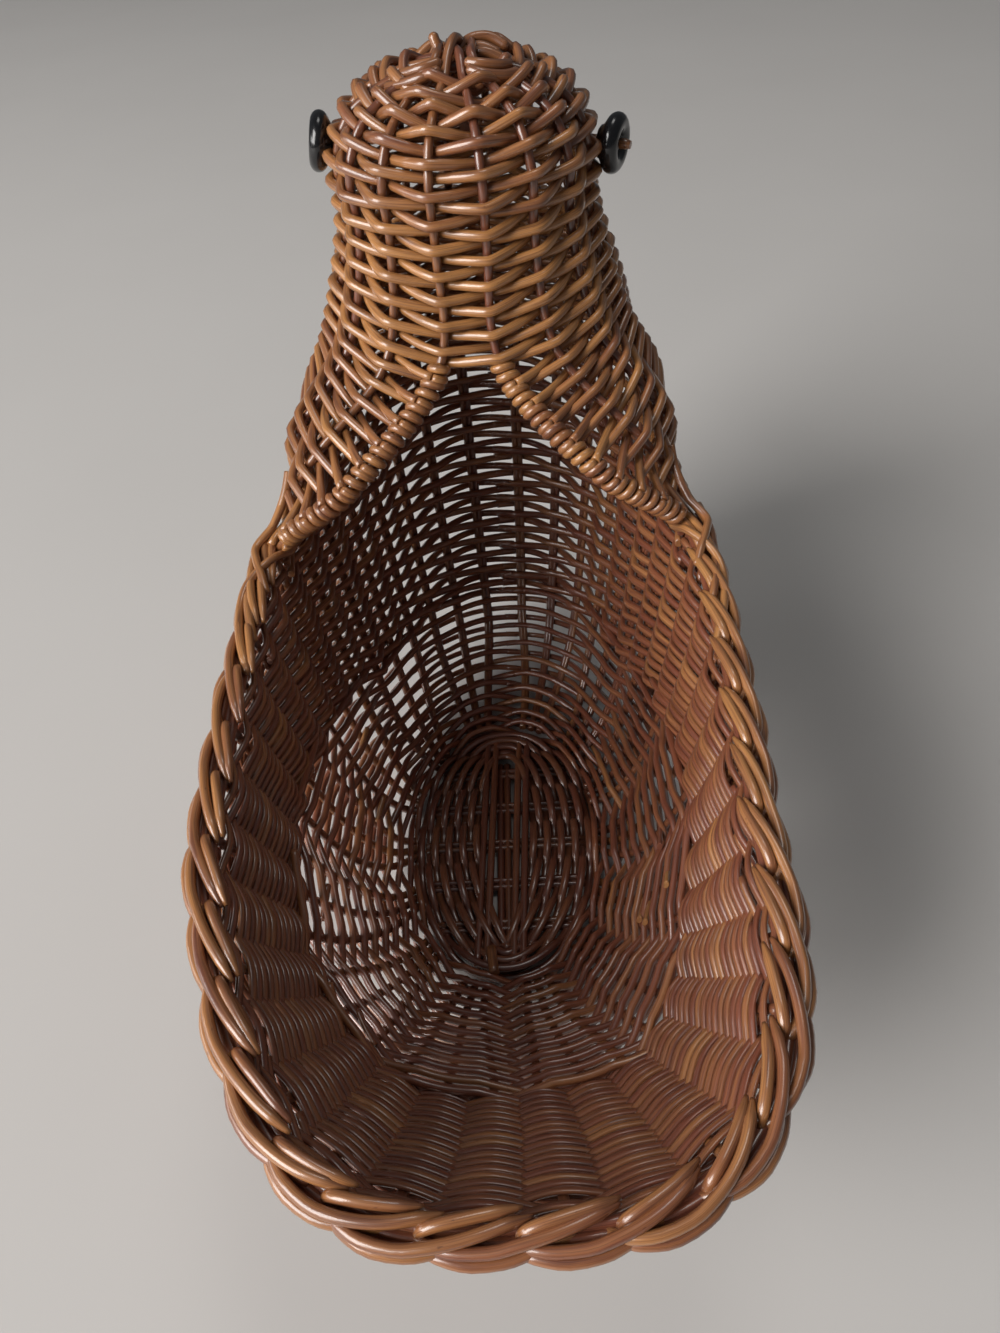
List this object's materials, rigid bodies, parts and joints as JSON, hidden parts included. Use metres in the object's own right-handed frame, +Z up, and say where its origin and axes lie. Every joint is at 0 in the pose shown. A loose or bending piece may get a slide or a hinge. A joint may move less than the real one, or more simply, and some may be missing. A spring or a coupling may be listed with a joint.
{
  "type": "chick-shaped wicker basket",
  "caption": "Chick-shaped woven reed basket with a flared open tail, an arched opening in its back, a domed head and black button eyes.",
  "frame": {"origin": "middle of the footprint of the whole basket, on the table under its base", "axes": "+Z up, +Y the way the chick faces, -Y to the flared tail, +X to the chick's right"},
  "size_m": [0.1316, 0.2898, 0.218],
  "materials": {
    "weaver_reed": "varnished round reed, satin gloss",
    "stake_reed": "varnished round reed, darker, satin gloss",
    "eye_plastic": "moulded glossy black"
  },
  "bodies": {
    "root": {"lower_wall_weave_outer": "weaver_reed", "lower_wall_weave_inner": "weaver_reed", "upper_wall_weave_outer": "weaver_reed", "upper_wall_weave_inner": "weaver_reed", "shoulder_weave_outer": "weaver_reed", "shoulder_weave_inner": "weaver_reed", "neck_weave_outer": "weaver_reed", "neck_weave_inner": "weaver_reed", "head_weave_outer": "weaver_reed", "head_weave_inner": "weaver_reed", "arch_edge_right": "weaver_reed", "arch_edge_left": "weaver_reed", "tail_border": "weaver_reed", "base_mat": "weaver_reed", "beak": "weaver_reed", "tail_rod_1": "stake_reed", "tail_rod_2": "stake_reed", "tail_rod_3": "stake_reed", "tail_rod_4": "stake_reed", "tail_rod_5": "stake_reed", "tail_rod_6": "stake_reed", "tail_rod_7": "stake_reed", "tail_rod_8": "stake_reed", "tail_rod_9": "stake_reed", "tail_rod_10": "stake_reed", "tail_rod_11": "stake_reed", "tail_rod_12": "stake_reed", "tail_rod_13": "stake_reed", "neck_rod_1": "stake_reed", "neck_rod_2": "stake_reed", "neck_rod_3": "stake_reed", "neck_rod_4": "stake_reed", "neck_rod_5": "stake_reed", "neck_rod_6": "stake_reed", "neck_rod_7": "stake_reed", "neck_rod_8": "stake_reed", "base_long_stick_1": "stake_reed", "base_long_stick_2": "stake_reed", "base_long_stick_3": "stake_reed", "base_long_stick_4": "stake_reed", "base_cross_stick_1": "stake_reed", "base_cross_stick_2": "stake_reed", "base_cross_stick_3": "stake_reed", "base_cross_stick_4": "stake_reed", "base_cross_stick_5": "stake_reed", "eye_peg_right": "stake_reed", "eye_peg_left": "stake_reed", "eye_right": "eye_plastic", "eye_left": "eye_plastic"}
  },
  "joints": []
}
